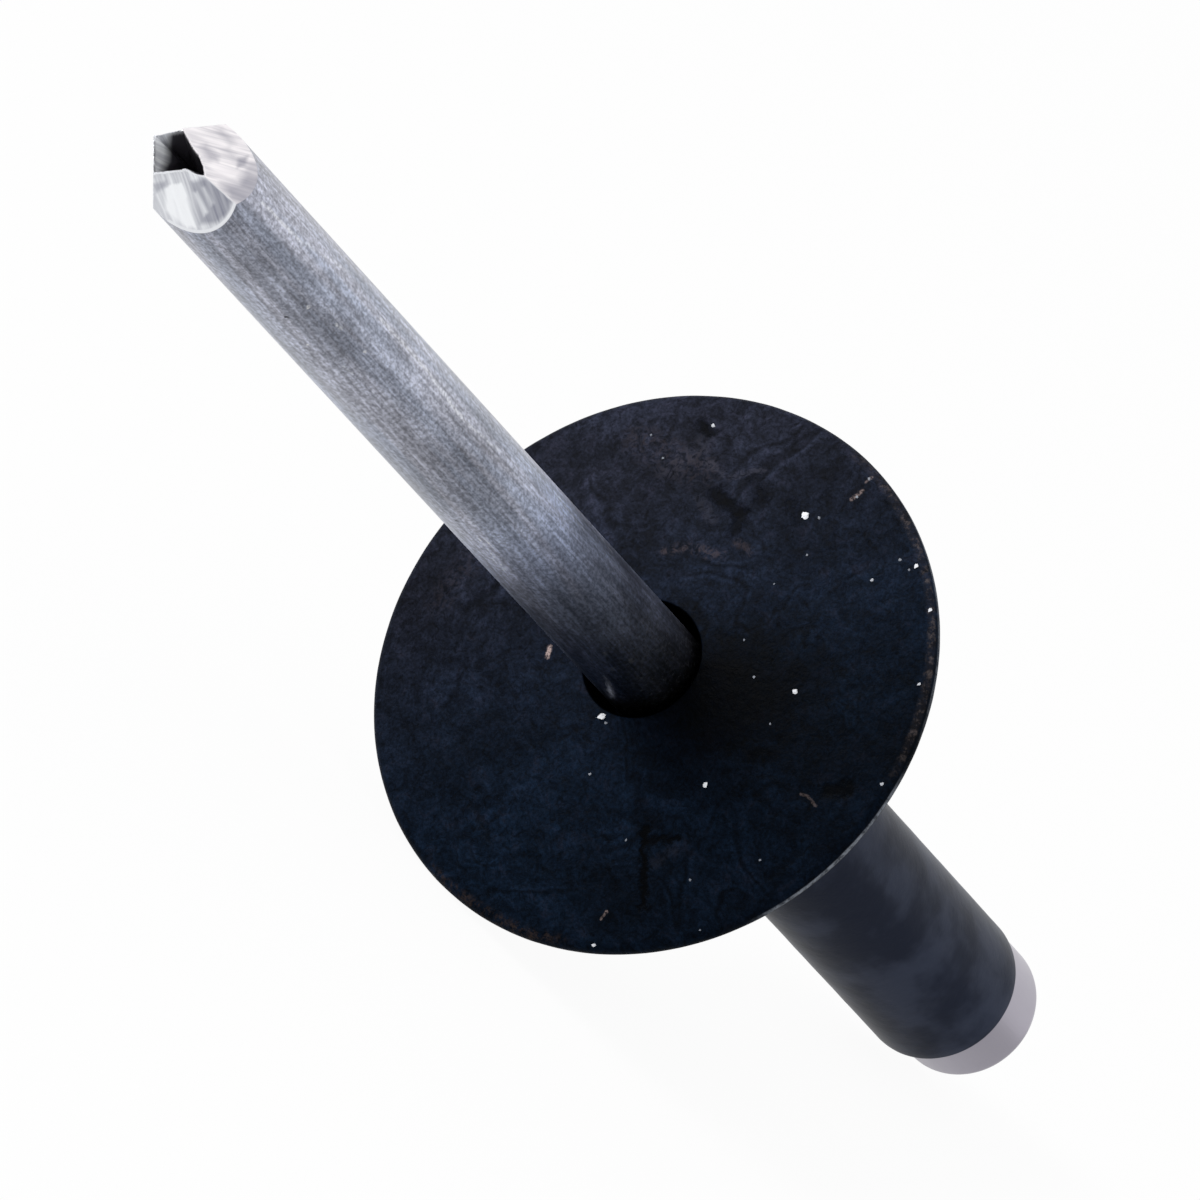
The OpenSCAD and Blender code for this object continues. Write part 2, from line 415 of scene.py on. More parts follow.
# %% The film on the flange
SHADED_SPOTS = (                # middle (mm), inner and outer reach (mm), tone in the middle
    ((2.6, 0.9, 1.3), 0.7, 4.4, 0.12),      # beside the mouth, where the stem keeps the light away
    ((6.0, 2.6, 0.8), 0.5, 4.5, 0.66))      # toward the rim beyond it
# Painted light: the flange's film is painted darker toward the viewer and lighter upwards, by this slope on a
# log scale.
PAINTED_LIGHT_SLOPE = (-0.1, 0.045, 0.0)      # how much lighter the film gets for each mm along x, y and z, on a log scale
MOUTH_TONE = 0.04               # little light gets into the mouth of the bore


def wrinkle_shade_and_highlight(tree, place, patches):
    """Soft wrinkles in some patches, as painted shade and painted highlight: a dark valley along each line
    and a pale bank beside it.
    """
    wrinkles = pattern(tree, place, 2.6, detail=1.5, roughness=0.5, distortion=0.9, shift=43.0)
    off_line = add(tree, "ShaderNodeMath", {0: wrinkles, 1: 0.5}, operation="SUBTRACT").outputs[0]
    from_line = add(tree, "ShaderNodeMath", {0: off_line}, operation="ABSOLUTE").outputs[0]
    shaded_valley = graded(tree, (from_line, 0.0, 0.05, 1.0, 0.0), (patches, 0.46, 0.6))
    lit_bank = graded(tree, (from_line, 0.04, 0.1, 1.0, 0.0), (patches, 0.46, 0.6))
    return graded(tree, (shaded_valley, 0.0, 1.0, 1.0, 0.4), (lit_bank, 0.0, 1.0, 1.0, 1.4), smooth=False)


def flange_film(tree, place, from_axis, lumps):
    """Colour of the coating on the flange: blue-black and mottled, with painted light: painted darker toward
    the viewer and lighter upwards, and painted shade by the mouth and in the wrinkles.
    """
    painted_light = add(tree, "ShaderNodeVectorMath", {0: place, 1: PAINTED_LIGHT_SLOPE}, operation="DOT_PRODUCT").outputs["Value"]
    layers = [add(tree, "ShaderNodeMath", {0: painted_light}, operation="EXPONENT").outputs[0],
              wrinkle_shade_and_highlight(tree, place, lumps["patches"])]
    for middle, inner, outer, darkest in SHADED_SPOTS:
        away = add(tree, "ShaderNodeVectorMath", {0: place, 1: middle}, operation="DISTANCE")
        layers.append((away.outputs["Value"], inner, outer, darkest, 1.0))
    layers += [(lumps["patches"], 0.35, 0.65, 0.7, 1.2), (lumps["blotches"], 0.36, 0.64, 0.62, 1.4),
               (lumps["creases"], 0.34, 0.5, 0.55, 1.05), (lumps["grain"], 0.36, 0.64, 0.7, 1.35),
               (from_axis, MOUTH_R, MOUTH_R + MOUTH_EDGE, MOUTH_TONE, 1.0)]
    # The tint follows the same painted light: bluer where the flange is painted darker.
    tint = coated(tree, linear("#0a1625"), graded(tree, (painted_light, -0.5, 0.7)), linear("#10121a"))
    tint = coated(tree, tint, graded(tree, (lumps["blotches"], 0.52, 0.7, 0.0, 0.5)), linear("#15151d"))
    return toned(tree, tint, *layers)


def sleeve_film(tree, place, z):
    """Colour of the coating on the sleeve: thicker and greyer, with soft clouds, and painted shade next to
    the flange, painted lighter toward the far end.
    """
    clouds = pattern(tree, place, 1.6, detail=3.0, stretch=(1, 1, 1.3), roughness=0.5, shift=13.0)
    film = coated(tree, linear("#191f2e"), graded(tree, (clouds, 0.36, 0.66)), linear("#2f3545"))
    # Painted shade next to the flange and painted light at the far end.
    return toned(tree, film, (z, -SLEEVE_LEN, -4.0, 1.2, 0.95))


# %% Wear of the rim
# Each stretch is its middle and its reach, in degrees round the axis, from the viewer's side upwards.
RUBBED_RIM = (60, 44)
RUBBED_LIP = (60, 32)
LIP_HIGHLIGHT = (2, 22)              # painted highlight where the rim's lower round stands in front of the sleeve
BROWN_RIM = (-74, 20)


def rim_stretch(tree, x, y, stretch):
    """1 in the middle of a stretch of the rim, down to 0 at its ends."""
    middle, reach = (math.radians(v) for v in stretch)
    turn = add(tree, "ShaderNodeMath", {0: y, 1: x}, operation="ARCTAN2").outputs[0]
    off = add(tree, "ShaderNodeMath", {0: turn, 1: middle}, operation="SUBTRACT").outputs[0]
    away = add(tree, "ShaderNodeMath", {0: off}, operation="ABSOLUTE").outputs[0]
    return graded(tree, (away, reach * 0.6, reach, 1.0, 0.0))


def rim_worn(tree, film, x, y, from_axis, rubbing):
    """The film with what shows through it on the rim: primer, rust-brown dirt and, on the lip, bare metal
    where it is rubbed, and in the same pale colour a painted highlight where the rim stands in front of the
    sleeve.
    """
    primer = graded(tree, (from_axis, RIM_X - 0.02, RIM_X + 0.14),
                    (from_axis, RIM_X + 0.22, RIM_X + 0.27, 1.0, 0.0),
                    rim_stretch(tree, x, y, RUBBED_RIM), (rubbing, 0.48, 0.68, 0.04, 0.42))
    film = coated(tree, film, primer, linear("#6e6461"))
    dirt = graded(tree, (from_axis, RIM_X - 0.1, RIM_X + 0.12), rim_stretch(tree, x, y, BROWN_RIM),
                  (rubbing, 0.46, 0.66, 0.0, 0.4))
    film = coated(tree, film, dirt, linear("#43362f"))
    half_bare = graded(tree, rim_stretch(tree, x, y, RUBBED_LIP), 0.5)
    # The pale lip is rubbed bare metal on the rubbed stretch and a painted highlight in front of the sleeve.
    worn_and_lit_edge = add(tree, "ShaderNodeMath", {0: rim_stretch(tree, x, y, LIP_HIGHLIGHT), 1: half_bare},
               operation="MAXIMUM").outputs[0]
    lip = graded(tree, (from_axis, RIM_X + 0.277, RIM_X + 0.291), worn_and_lit_edge, (rubbing, 0.34, 0.62, 0.15, 0.85))
    return coated(tree, film, lip, linear("#858b95"))


# %% Single marks, and the relief that goes with them
def face_marked(tree, film, place, z, lumps):
    """The film with scuffs and scratches, lit folds painted lighter as a painted highlight, dark fold lines
    in shade painted near black as painted shade, and how high the folds stand over the dark lines.
    """
    face = graded(tree, (z, 0.3, 0.5))
    ragged_place = wobbled(tree, place, 0.3, 0.14)
    thin_place = wobbled(tree, place, 0.14, 0.035)
    # Painted highlight on the raised folds.
    lit_folds = graded(tree, all_streaks(tree, ragged_place, "face", RAISED_LIT_FOLDS), face,
                   (lumps["creases"], 0.36, 0.56, 0.15, 1.0))
    scuffs = graded(tree, all_streaks(tree, ragged_place, "face", TAN_SCUFFS, softness=1.0), face,
                    (lumps["creases"], 0.46, 0.6))
    # Painted shade along the fold lines that hold no light.
    shaded_lines = graded(tree, all_streaks(tree, ragged_place, "face", SHADED_FOLD_LINES), face)
    scratches = graded(tree, all_streaks(tree, thin_place, "face", PALE_SCRATCHES), face,
                       (lumps["grain"], 0.4, 0.56, 0.1, 1.0))
    coats = ((lit_folds, "#3a3b46"), (scuffs, "#635658"), (shaded_lines, "#010204"), (scratches, "#c0aaa4"))
    for share, colour in coats:
        film = coated(tree, film, share, linear(colour))
    rise = add(tree, "ShaderNodeMath", {0: lit_folds, 1: shaded_lines}, operation="SUBTRACT").outputs[0]
    return film, rise


# %% Matt black enamel
COATING_SHINE = 0.02            # share of a usual gloss that the matt coating has


def make_black_enamel():
    """Baked matt enamel: nearly no gloss, so that it stays dark, with a soft leathery relief."""
    material, tree, shader, place = new_material("matt_black_enamel")
    x, y, z = add(tree, "ShaderNodeSeparateXYZ", {0: place}).outputs
    flat = add(tree, "ShaderNodeVectorMath", {0: place, 1: (1, 1, 0)}, operation="MULTIPLY").outputs["Vector"]
    from_axis = add(tree, "ShaderNodeVectorMath", {0: flat}, operation="LENGTH").outputs["Value"]
    lumps = enamel_lumps(tree, place)
    sleeve = graded(tree, (z, -0.6, 0.0, 1.0, 0.0))

    film = coated(tree, flange_film(tree, place, from_axis, lumps), sleeve, sleeve_film(tree, place, z))
    film = rim_worn(tree, film, x, y, from_axis, lumps["rubbing"])
    film, rise = face_marked(tree, film, place, z, lumps)
    tree.links.new(film, shader.inputs["Base Color"])

    face_roughness = graded(tree, (lumps["blotches"], 0.3, 0.7, 0.4, 0.52), smooth=False)
    tree.links.new(coated(tree, face_roughness, sleeve, 0.3), shader.inputs["Roughness"])
    shader.inputs["Specular IOR Level"].default_value = COATING_SHINE

    height = add(tree, "ShaderNodeMath", {0: lumps["dents"], 1: graded(tree, rise, 0.8)}).outputs[0]
    calm = coated(tree, 0.6, sleeve, 0.12)
    relief = add(tree, "ShaderNodeBump", {"Height": height, "Strength": calm, "Distance": 0.07 * MM})
    relief = add(tree, "ShaderNodeBump", {
        "Height": lumps["creases"], "Strength": calm, "Distance": 0.03 * MM, "Normal": relief.outputs[0]})
    tree.links.new(relief.outputs[0], shader.inputs["Normal"])
    return material


black_enamel = make_black_enamel()
print("black enamel has", len(black_enamel.node_tree.nodes), "nodes")

# %% [markdown]
# ## Bare metal of the mandrel
# The mandrel is aluminium wire that was pulled through a die, which leaves fine lines along it and, with
# handling, a dull blue-grey skin that is bluer near the flange, where drawing oil has dried. Where it was
# pinched off, the metal is fresh and bright, with the marks of the cutting edges down each face. The head
# is upset, that is hammered up from the same wire, and is a little brighter and smoother. Its colour also
# carries painted light: painted reflection and shade that change along the stem, painted highlights on die
# lines, on the edges and burrs of the cut and on one patch of it, painted glints near the flange, and
# painted shade in the pit. One material holds all three, mixed by attributes that the mesh carries: how
# fresh and how warm the metal is, how light each spot of the cut faces is, and how much of the torn pit
# lies in painted shade.

# %% Marks on the wire, as pixels of the photograph
# Painted highlights along the die's scratches.
DRAW_LINE_HIGHLIGHTS = (           # the die's scratches that catch the light
    ((262, 203), (300, 241), 0.1, 0.6), ((300, 241), (352, 274), 0.1, 0.35),
    ((380, 318), (420, 362), 0.12, 0.5), ((420, 362), (462, 418), 0.12, 0.6),
    ((462, 418), (500, 452), 0.09, 0.4), ((556, 494), (584, 530), 0.05, 0.5),
    ((343, 366), (352, 374), 0.07, 0.5), ((336, 323), (342, 329), 0.08, 0.8),
    ((600, 536), (612, 552), 0.06, 0.6))
WHITE_CHIPS_AND_GLINTS = (                # chips and dust that stick to the oil; the last four, next to the flange, are painted glints
    ((307, 345), (307, 345), 0.09, 0.9), ((308, 306), (309, 308), 0.07, 0.7),
    ((365, 351), (366, 353), 0.07, 0.6), ((612, 668), (613, 670), 0.1, 0.35),
    ((604, 652), (606, 655), 0.1, 0.35), ((630, 660), (632, 662), 0.12, 0.4),
    ((640, 678), (642, 678), 0.1, 0.3))
DARK_SPECKS = (((286, 317), (287, 317), 0.11, 1.0), ((456, 520), (457, 521), 0.08, 0.6))
print(len(DRAW_LINE_HIGHLIGHTS), "bright lines on the wire")


# %% The drawn skin of the wire
OIL_FILM = (1.1, 1.14, 1.25, 1.0)       # what the bluish film near the flange does to the wire's colour
OIL_REACH = (10.5, 16.0)                # heights in mm between which it fades out
BRIGHTEST = (0.86, 0.87, 0.9)           # no bare metal gives back more light than this
# Painted reflection and shade along the stem: near black by the flange, whose dark face it mirrors, and
# lighter bands of painted sheen higher up.
STEM_PAINTED_REFLECTION = (                          # tone of the wire at heights above the seat, in mm
    (0.0, 0.04), (0.8, 0.15), (2.5, 0.55), (4.8, 0.86), (7.6, 0.84), (9.8, 0.82), (13.0, 1.26), (17.6, 0.83),
    (22.6, 1.17), (27.5, 1.02), (36.0, 1.0))


def wire_lumps(tree, place):
    """The wire's patterns by name. The finest die lines are some hundredths of a millimetre wide on the real
    wire, and are drawn up to 0.16 mm wide here, so that they show."""
    return {
        "lines": pattern(tree, place, 0.16, detail=3.0, stretch=(1, 1, 45), roughness=0.6, distortion=0.2),
        "hairs": pattern(tree, place, 0.06, stretch=(1, 1, 22), roughness=0.7, shift=3.0),
        "bands": pattern(tree, place, 0.7, stretch=(1, 1, 22), distortion=0.4, shift=5.0),
        "grain": pattern(tree, place, 0.1, stretch=(1, 1, 1.8), roughness=0.65, shift=9.0),
        "cloud": pattern(tree, place, 0.8, detail=4.0, stretch=(1, 1, 3), roughness=0.65, shift=17.0),
        "flecks": pattern(tree, place, 0.13, detail=3.0, roughness=0.8, shift=27.0)}


def drawn_skin(tree, place, z, lumps):
    """Colour of the wire: grey bands and tones as drawn, the oil film, and painted reflection and shade that
    change with height along the stem.
    """
    skin = coated(tree, linear("#9096a6"), graded(tree, (lumps["bands"], 0.38, 0.62)), linear("#a2a4b1"))
    skin = toned(tree, skin, (lumps["grain"], 0.36, 0.64, 0.72, 1.32), (lumps["lines"], 0.36, 0.64, 0.8, 1.2),
                 (lumps["hairs"], 0.36, 0.64, 0.86, 1.14), (lumps["cloud"], 0.36, 0.64, 0.85, 1.15),
                 tone_along(tree, z, STEM_PAINTED_REFLECTION))
    film = coated(tree, (1.0, 1.0, 1.0, 1.0), graded(tree, (z, *OIL_REACH, 1.0, 0.0)), OIL_FILM)
    for operation, other in (("MULTIPLY", film), ("MINIMUM", BRIGHTEST)):
        skin = add(tree, "ShaderNodeVectorMath", {0: skin, 1: other}, operation=operation).outputs["Vector"]
    return skin


def skin_marked(tree, skin, place, z, lumps):
    """The skin with dust near the flange, painted highlights along die scratches, white chips and painted
    glints, and dark specks.
    """
    dust = graded(tree, (z, 2.4, 7.5, 0.8, 0.0), (lumps["flecks"], 0.52, 0.68, 0.0, 0.75))
    lively = wobbled(tree, place, 0.5, 0.05)
    # Painted highlights along the die's scratches.
    scratches = graded(tree, all_streaks(tree, lively, "stem", DRAW_LINE_HIGHLIGHTS),
                       (lumps["grain"], 0.4, 0.58, 0.25, 1.0))
    specked = wobbled(tree, place, 0.12, 0.05)
    # White chips, with painted glints among them next to the flange.
    chips_and_glints = all_streaks(tree, specked, "stem", WHITE_CHIPS_AND_GLINTS)
    specks = all_streaks(tree, specked, "stem", DARK_SPECKS)
    coats = ((dust, "#dfe0ea"), (scratches, "#e6e8ee"), (chips_and_glints, "#f4f4f6"), (specks, "#15161a"))
    for share, colour in coats:
        skin = coated(tree, skin, share, linear(colour))
    return skin


# %% Drawn wire with a pinched end
HEAD_START = (-23.6, -23.0)     # heights between which the wire's skin turns into the head's
PIT_METALLIC = 0.15             # torn metal is so rough that it hardly mirrors


def make_wire():
    """Drawn aluminium: mirrors its surroundings, softened by the die's fine lines."""
    material, tree, shader, place = new_material("drawn_aluminium_wire")
    z = add(tree, "ShaderNodeSeparateXYZ", {0: place}).outputs["Z"]
    fresh, light, warm, pit, torn = (add(tree, "ShaderNodeAttribute", attribute_name=name).outputs["Fac"]
                                     for name in ("fresh", "light", "warm", "pit", "torn"))
    lumps = wire_lumps(tree, place)
    skin = skin_marked(tree, drawn_skin(tree, place, z, lumps), place, z, lumps)
    skin = coated(tree, skin, graded(tree, (z, *HEAD_START, 1.0, 0.0)), linear("#a5a1ac"))
    burnished = coated(tree, linear("#fafcff"), warm, linear("#fbf7f9"))
    skin = coated(tree, skin, fresh, coated(tree, linear("#66687e"), light, burnished))
    # Painted shade: where the pit lies in shade, the metal is painted near black.
    skin = coated(tree, skin, pit, linear("#2c2a30"))
    tree.links.new(skin, shader.inputs["Base Color"])
    tree.links.new(graded(tree, (torn, 0.0, 1.0, 1.0, PIT_METALLIC)), shader.inputs["Metallic"])

    dull = graded(tree, (lumps["cloud"], 0.3, 0.7, 0.3, 0.36), smooth=False)
    tree.links.new(coated(tree, dull, fresh, 0.4), shader.inputs["Roughness"])
    relief = add(tree, "ShaderNodeBump", {"Height": lumps["lines"], "Strength": 0.35, "Distance": 0.01 * MM})
    relief = add(tree, "ShaderNodeBump", {
        "Height": lumps["grain"], "Strength": 0.12, "Distance": 0.006 * MM, "Normal": relief.outputs[0]})
    tree.links.new(relief.outputs[0], shader.inputs["Normal"])
    return material


wire = make_wire()
print("wire has", len(wire.node_tree.nodes), "nodes")

# %% [markdown]
# ## A turned piece, as a rule
# Both pieces are round about one axis: a section goes once round it. That is a rule, so Geometry Nodes
# can follow it. A grid gets one column for each step round the axis and one row for each point of the
# section; each grid point looks up its point of the section and is turned by its column's angle. Merging
# the doubles then closes the seam and the poles. A spin in mesh code would do as well, but here the
# number of steps and the dents stay live inputs, and the dents push the real surface in and out along its
# normal, so that its outline has them too.

# %% Geometry tree that turns a section round the axis
NOISE_TOP = 0.75                # noise hardly passes this, so that less it is a push inwards only


def make_turning_tree():
    tree = bpy.data.node_groups.new("turned_from_section", "GeometryNodeTree")
    for name, kind in (("Section", "NodeSocketGeometry"), ("Steps", "NodeSocketInt"),
                       ("Dent Depth", "NodeSocketFloat"), ("Dent Width", "NodeSocketFloat"),
                       ("Seed", "NodeSocketFloat"), ("Finish", "NodeSocketMaterial")):
        tree.interface.new_socket(name, in_out="INPUT", socket_type=kind)
    tree.interface.new_socket("Piece", in_out="OUTPUT", socket_type="NodeSocketGeometry")
    given = add(tree, "NodeGroupInput").outputs

    rows = add(tree, "GeometryNodeAttributeDomainSize", {0: given["Section"]}).outputs["Point Count"]
    columns = add(tree, "FunctionNodeIntegerMath", {0: given["Steps"], 1: 1}, operation="ADD").outputs[0]
    grid = add(tree, "GeometryNodeMeshGrid", {"Vertices X": columns, "Vertices Y": rows})
    number = add(tree, "GeometryNodeInputIndex").outputs[0]
    row = add(tree, "FunctionNodeIntegerMath", {0: number, 1: rows}, operation="MODULO").outputs[0]
    column = add(tree, "FunctionNodeIntegerMath", {0: number, 1: rows}, operation="DIVIDE_FLOOR").outputs[0]

    where = add(tree, "GeometryNodeInputPosition").outputs[0]
    on_section = add(tree, "GeometryNodeSampleIndex", {"Geometry": given["Section"], "Index": row},
                     data_type="FLOAT_VECTOR")
    tree.links.new(where, on_section.inputs["Value"])
    share = add(tree, "ShaderNodeMath", {0: column, 1: given["Steps"]}, operation="DIVIDE").outputs[0]
    angle_round = add(tree, "ShaderNodeMath", {0: share, 1: 2 * math.pi}, operation="MULTIPLY").outputs[0]
    turned = add(tree, "ShaderNodeVectorRotate", {"Vector": on_section.outputs[0], "Angle": angle_round},
                 rotation_type="Z_AXIS")
    shell = add(tree, "GeometryNodeSetPosition", {
        "Geometry": grid.outputs["Mesh"], "Position": turned.outputs[0]})
    closed = add(tree, "GeometryNodeMergeByDistance", {"Geometry": shell.outputs[0], "Distance": 1e-4})

    seeded = add(tree, "ShaderNodeVectorMath", {0: where, 1: given["Seed"]}, operation="ADD").outputs[0]
    fineness = add(tree, "ShaderNodeMath", {0: 1.0, 1: given["Dent Width"]}, operation="DIVIDE").outputs[0]
    lumps = add(tree, "ShaderNodeTexNoise", {"Vector": seeded, "Scale": fineness, "Detail": 3.0})
    inwards = add(tree, "ShaderNodeMath", {0: lumps.outputs["Fac"], 1: NOISE_TOP},
                  operation="SUBTRACT").outputs[0]
    depth = add(tree, "ShaderNodeMath", {0: inwards, 1: given["Dent Depth"]},
                operation="MULTIPLY").outputs[0]
    normal = add(tree, "GeometryNodeInputNormal").outputs[0]
    push = add(tree, "ShaderNodeVectorMath", {0: normal, "Scale": depth}, operation="SCALE").outputs[0]
    dented = add(tree, "GeometryNodeSetPosition", {"Geometry": closed.outputs[0], "Offset": push})
    smooth = add(tree, "GeometryNodeSetShadeSmooth", {0: dented.outputs[0]})
    real = add(tree, "GeometryNodeRealizeInstances", {0: smooth.outputs[0]})
    finished = add(tree, "GeometryNodeSetMaterial", {0: real.outputs[0], "Material": given["Finish"]})
    add(tree, "NodeGroupOutput", {0: finished.outputs[0]})
    return tree


turning_tree = make_turning_tree()
print("turning tree has", len(turning_tree.nodes), "nodes")


# %% Run a geometry tree and keep its result as a plain mesh
def run_tree(name, base, tree, settings):
    """A piece made by the tree from a base mesh. Settings are given by the tree's input names."""
    holder = bpy.data.objects.new(name + "_base", base)
    bpy.context.scene.collection.objects.link(holder)
    modifier = holder.modifiers.new("make", "NODES")
    modifier.node_group = tree
    identifiers = {item.name: item.identifier
                   for item in tree.interface.items_tree if item.in_out == "INPUT"}
    for key, value in settings.items():
        modifier[identifiers[key]] = value
    graph = bpy.context.evaluated_depsgraph_get()
    mesh = bpy.data.meshes.new_from_object(holder.evaluated_get(graph), depsgraph=graph)
    mesh.name = name
    holder.modifiers.remove(modifier)
    bpy.data.objects.remove(holder)
    return mesh


def turned_mesh(name, section, steps, material, dent_depth=0.0, dent_width=1.0, seed=0.0):
    """The section's points (r, z) in mm, turned round the rivet's axis, still in rivet coordinates."""
    base = bpy.data.meshes.new(name + "_section")
    base.from_pydata([(r, 0, z) for r, z in section], [(i, i + 1) for i in range(len(section) - 1)], [])
    return run_tree(name, base, turning_tree, {
        "Steps": steps, "Dent Depth": dent_depth, "Dent Width": dent_width, "Seed": seed,
        "Finish": material})


def place_piece(mesh, node=None, sharp=40):
    """Closes the mesh outward, moves it from rivet coordinates to the row's and ties it to the frame."""
    solid = bmesh.new()
    solid.from_mesh(mesh)
    bmesh.ops.remove_doubles(solid, verts=solid.verts, dist=1e-5)
    bmesh.ops.recalc_face_normals(solid, faces=solid.faces)
    if solid.calc_volume(signed=True) < 0:
        bmesh.ops.reverse_faces(solid, faces=solid.faces)
    volume = solid.calc_volume()
    solid.transform(rivet_to_row)
    solid.to_mesh(mesh)
    solid.free()
    mesh.set_sharp_from_angle(angle=math.radians(sharp))
    piece = bpy.data.objects.new(mesh.name, mesh)
    bpy.context.scene.collection.objects.link(piece)
    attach(piece, "root")
    if node:
        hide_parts(node)
    print(f"{mesh.name}: {len(mesh.vertices)} points, {len(mesh.polygons)} faces, {volume:.1f} mm3")


# %% [markdown]
# ## Section of the rivet body
# The body is cold-headed from tube or wire: the sleeve is drawn and the flange pressed out in one blow.
# Its face is a shallow dome that runs without an edge into a full-round rim, and a short countersink
# leads into the bore. The section goes once round the wall, from the far end of the sleeve up to the rim
# and back down the bore. Round stretches are arcs, and flat stretches get steps of their own so that
# small dents have points to move.

# %% Section of the rivet body
rim_turn = math.degrees(math.atan2(RIM_R - crown_centre, RIM_X))    # where the dome meets the round


def arc(centre_r, centre_z, radius, start, end, steps):
    """Points on an arc, from start to end in degrees from the +r direction."""
    turns = np.radians(np.linspace(start, end, steps + 1))
    return [(centre_r + radius * math.cos(t), centre_z + radius * math.sin(t)) for t in turns]


def run(start, end, steps):
    """Points on a straight stretch, without its two ends."""
    return [tuple(np.array(start) + (np.array(end) - start) * i / steps) for i in range(1, steps)]


def body_section():
    sleeve_round = arc(SLEEVE_R - SLEEVE_EDGE, -SLEEVE_LEN + SLEEVE_EDGE, SLEEVE_EDGE, -90, 0, 6)
    seat_round = arc(SLEEVE_R + SEAT_FILLET, -SEAT_FILLET, SEAT_FILLET, 180, 90, 6)
    rim_round = arc(RIM_X, RIM_R, RIM_R, -90, rim_turn, 20)
    mouth_angle = math.degrees(math.acos((MOUTH_R + MOUTH_EDGE) / crown_r))
    face = arc(0, crown_centre, crown_r, rim_turn, mouth_angle, 64)
    edge_z = face[-1][1] - MOUTH_EDGE
    mouth_round = arc(MOUTH_R + MOUTH_EDGE, edge_z, MOUTH_EDGE, 90, 180, 6)
    mouth_foot = (MOUTH_R, CROWN_Z - MOUTH_DEPTH)
    cone_foot = (BORE_R, mouth_foot[1] - MOUTH_CONE)
    bevel_top = (BORE_R, -SLEEVE_LEN + BORE_BEVEL)
    bevel_foot = (BORE_R + BORE_BEVEL, -SLEEVE_LEN)
    points = [bevel_foot] + sleeve_round + run(sleeve_round[-1], seat_round[0], 64) + seat_round
    points += run(seat_round[-1], rim_round[0], 20) + rim_round + face[1:] + mouth_round[1:]
    points += [mouth_foot, cone_foot] + run(cone_foot, bevel_top, 8) + [bevel_top, bevel_foot]
    return points


section = body_section()
print(len(section), "points in the section; dome radius", round(crown_r, 1), "mm")

# %% Make the rivet body
STEPS_ROUND = 384               # enough that the flange's outline shows no corners

body_mesh = turned_mesh("flanged_sleeve", section, STEPS_ROUND, black_enamel,
                        dent_depth=0.02, dent_width=1.1, seed=3.0)
place_piece(body_mesh, "rivet_body")

# %% [markdown]
# ## Section of the mandrel
# The mandrel is turned from its own section: the head with its rounded far edge, a small cone under it,
# the V of the break neck, and the long stem. Its last row of points goes to the middle of the end face,
# so that the next step has a fine net of points there to shape the pinched end with.

# %% Rows of points for the pinched end
CUT_ROWS = 34                   # rows of points on the wall of the last stretch of stem
END_RINGS = 62                  # rings of points on the pinched end
CUT_START = STEM_REACH - 1.0    # the wall below this height stays straight
BLANK_TOP = STEM_REACH + 2.0    # square end of the blank that the cuts are taken from


def mandrel_section():
    head_foot = -SLEEVE_LEN - HEAD_T
    head_top = -SLEEVE_LEN
    points = [(0, head_foot)] + run((0, head_foot), (HEAD_R - HEAD_EDGE, head_foot), 8)
    points += arc(HEAD_R - HEAD_EDGE, head_foot + HEAD_EDGE, HEAD_EDGE, -90, 0, 10)
    wall_top = (HEAD_R, head_top - HEAD_SEAT_EDGE)
    points += run(points[-1], wall_top, 10)
    points += arc(HEAD_R - HEAD_SEAT_EDGE, head_top - HEAD_SEAT_EDGE, HEAD_SEAT_EDGE, 0, 90, 4)
    points += [(STEM_R + HEAD_CONE, head_top), (STEM_R, head_top + HEAD_CONE)]
    neck_z = head_top + NECK_GAP
    points += [(STEM_R, neck_z - NECK_W / 2), (NECK_R, neck_z), (STEM_R, neck_z + NECK_W / 2)]
    points += run(points[-1], (STEM_R, CUT_START), 60) + [(STEM_R, CUT_START)]
    points += run(points[-1], (STEM_R, BLANK_TOP), CUT_ROWS) + [(STEM_R, BLANK_TOP)]
    points += run(points[-1], (0, BLANK_TOP), END_RINGS) + [(0, BLANK_TOP)]
    return points


mandrel_mesh = turned_mesh("pulling_mandrel", mandrel_section(), STEPS_ROUND, wire)
print("mandrel blank:", len(mandrel_mesh.vertices), "points")

# %% [markdown]
# ## The pinched end
# The wire was cut by pinching jaws, not sawn. Each jaw leaves a flat face that slopes up toward the
# middle, with fine marks down the slope, and the last bit of metal tears out and leaves a dark pit. The
# height of the end is therefore the lowest of the cut planes at each point, less the pit. The points of
# the blank's flat end are lowered to that height, and the rows of its wall are drawn down with them, so
# no boolean is needed and the net stays fine enough to carry the marks.

# %% Cuts, pit and nick
FRONT_SLOPE = 52                # degrees, from a square end
BACK_SLOPE = 68
CUTS = (                        # turn about the axis, and slope
    (-34, FRONT_SLOPE),         # left front
    (50, FRONT_SLOPE),          # right front
    (144, BACK_SLOPE),          # right back
    (232, BACK_SLOPE))          # left back
LEFT_FRONT, RIGHT_FRONT = 0, 1  # places of the two front cuts in the list
PIT_OUTLINE = np.array([(0.44, 0.06), (0.28, 0.17), (-0.21, 0.3), (-0.48, 0.38), (-0.83, -0.08),
                        (-0.2, -0.59), (0.17, -0.1)]) * STEM_R
PIT_FLOOR = -0.9                # depth of the pit's floor below the start of the cuts
PIT_WALL = 5.0                  # how steeply the pit's walls fall
BURR_HEIGHT = 0.035             # torn metal that stands up along the ridge and round the pit
MARK_DEPTH = 0.018              # depth of the marks that the jaws leave
WAVE_DEPTH = 0.035              # depth of the wider waves between them
CALM_EDGE = 0.15                # distance from the wire's outer edge over which the marks fade out
RIDGE_WIDTH = 0.035             # how far the burr along the ridge between the cuts reaches
LIP_WIDTH = 0.05                # width of the torn lip round the pit
